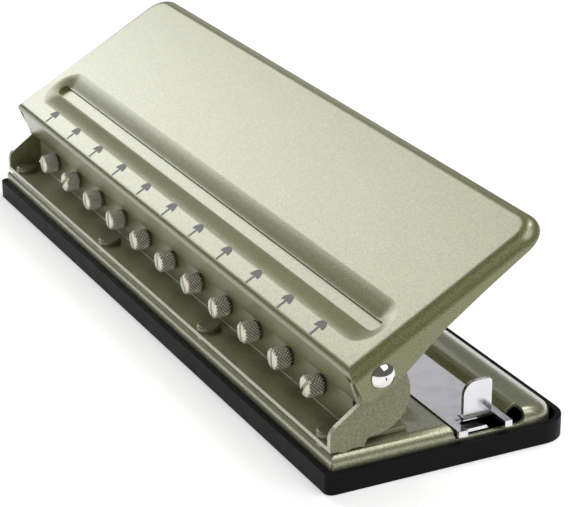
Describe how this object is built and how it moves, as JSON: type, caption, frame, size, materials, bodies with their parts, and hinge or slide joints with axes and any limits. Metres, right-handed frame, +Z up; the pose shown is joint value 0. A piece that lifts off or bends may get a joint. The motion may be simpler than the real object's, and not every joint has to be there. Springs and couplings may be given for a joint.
{
  "type": "disc binding punch",
  "caption": "Desk punch for disc-bound sheets: wide pressed lid on two pivots over a row of mushroom punches, knurled knobs, chrome paper guide and black chip tray.",
  "frame": {"origin": "middle of the chip tray's underside", "axes": "+X along the punch row towards the paper guide's end, +Y towards the side where the sheet goes in, +Z up"},
  "size_m": [0.3262, 0.0974, 0.083],
  "materials": {
    "black_tray": "satin",
    "base_paint": "metallic satin",
    "frame_paint": "metallic satin",
    "rivet_paint": "metallic satin",
    "lid_paint": "metallic satin",
    "tool_steel": "ground",
    "zinc_steel": "satin",
    "spring_wire": "drawn",
    "bright_chrome": "polished",
    "knob_nickel": "knurled nickel"
  },
  "bodies": {
    "base": {"base_plate": "base_paint", "side_frame": "frame_paint", "frame_rivets": "rivet_paint", "die_plate": "tool_steel", "punch_housing": "frame_paint", "housing_screws": "zinc_steel", "stripper_plate": "tool_steel", "paper_stop": "tool_steel", "pivot_rivets": "bright_chrome", "pivot_washers": "zinc_steel", "guide_spring": "zinc_steel", "guide_spring_rivet": "zinc_steel"},
    "lid": {"lid": "lid_paint"},
    "punches": {"press_bar": "tool_steel", "return_springs": "spring_wire", "punch_01": "tool_steel", "punch_02": "tool_steel", "punch_03": "tool_steel", "punch_04": "tool_steel", "punch_05": "tool_steel", "punch_06": "tool_steel", "punch_07": "tool_steel", "punch_08": "tool_steel", "punch_09": "tool_steel", "punch_10": "tool_steel", "punch_11": "tool_steel"},
    "guide": {"paper_guide": "bright_chrome", "guide_keeper": "zinc_steel", "guide_rivets": "zinc_steel"},
    "tray": {"chip_tray": "black_tray"},
    "knob_01": {"knob_01": "knob_nickel"},
    "knob_02": {"knob_02": "knob_nickel"},
    "knob_03": {"knob_03": "knob_nickel"},
    "knob_04": {"knob_04": "knob_nickel"},
    "knob_05": {"knob_05": "knob_nickel"},
    "knob_06": {"knob_06": "knob_nickel"},
    "knob_07": {"knob_07": "knob_nickel"},
    "knob_08": {"knob_08": "knob_nickel"},
    "knob_09": {"knob_09": "knob_nickel"},
    "knob_10": {"knob_10": "knob_nickel"},
    "knob_11": {"knob_11": "knob_nickel"}
  },
  "joints": [
    {"name": "lid_press", "type": "hinge", "parent": "base", "child": "lid", "pos_m": [0, -0.02737, 0.03952], "axis": [-1, 0, 0], "range_deg": [0, 36], "stiffness_Nm_per_rad": 0.35, "springref_deg": -34.38},
    {"name": "punch_stroke", "type": "slide", "parent": "base", "child": "punches", "axis": [0, 0, -1], "range_m": [0, 0.0053], "stiffness_N_per_m": 300, "springref_m": -0.01, "deforming": ["return_springs"]},
    {"name": "guide_slide", "type": "slide", "parent": "base", "child": "guide", "axis": [1, 0, 0], "range_m": [0, 0.06]},
    {"name": "tray_drop", "type": "slide", "parent": "base", "child": "tray", "axis": [0, 0, -1], "range_m": [0, 0.015]},
    {"name": "knob_01_turn", "type": "hinge", "parent": "base", "child": "knob_01", "pos_m": [-0.127, -0.036, 0.0242], "axis": [0, -1, 0], "continuous": true},
    {"name": "knob_02_turn", "type": "hinge", "parent": "base", "child": "knob_02", "pos_m": [-0.1016, -0.036, 0.0242], "axis": [0, -1, 0], "continuous": true},
    {"name": "knob_03_turn", "type": "hinge", "parent": "base", "child": "knob_03", "pos_m": [-0.0762, -0.036, 0.0242], "axis": [0, -1, 0], "continuous": true},
    {"name": "knob_04_turn", "type": "hinge", "parent": "base", "child": "knob_04", "pos_m": [-0.0508, -0.036, 0.0242], "axis": [0, -1, 0], "continuous": true},
    {"name": "knob_05_turn", "type": "hinge", "parent": "base", "child": "knob_05", "pos_m": [-0.0254, -0.036, 0.0242], "axis": [0, -1, 0], "continuous": true},
    {"name": "knob_06_turn", "type": "hinge", "parent": "base", "child": "knob_06", "pos_m": [0, -0.036, 0.0242], "axis": [0, -1, 0], "continuous": true},
    {"name": "knob_07_turn", "type": "hinge", "parent": "base", "child": "knob_07", "pos_m": [0.0254, -0.036, 0.0242], "axis": [0, -1, 0], "continuous": true},
    {"name": "knob_08_turn", "type": "hinge", "parent": "base", "child": "knob_08", "pos_m": [0.0508, -0.036, 0.0242], "axis": [0, -1, 0], "continuous": true},
    {"name": "knob_09_turn", "type": "hinge", "parent": "base", "child": "knob_09", "pos_m": [0.0762, -0.036, 0.0242], "axis": [0, -1, 0], "continuous": true},
    {"name": "knob_10_turn", "type": "hinge", "parent": "base", "child": "knob_10", "pos_m": [0.1016, -0.036, 0.0242], "axis": [0, -1, 0], "continuous": true},
    {"name": "knob_11_turn", "type": "hinge", "parent": "base", "child": "knob_11", "pos_m": [0.127, -0.036, 0.0242], "axis": [0, -1, 0], "continuous": true}
  ],
  "couplings": [
    {"joint": "punch_stroke", "follows": "lid_press", "m_per_rad": 0.0084352}
  ]
}
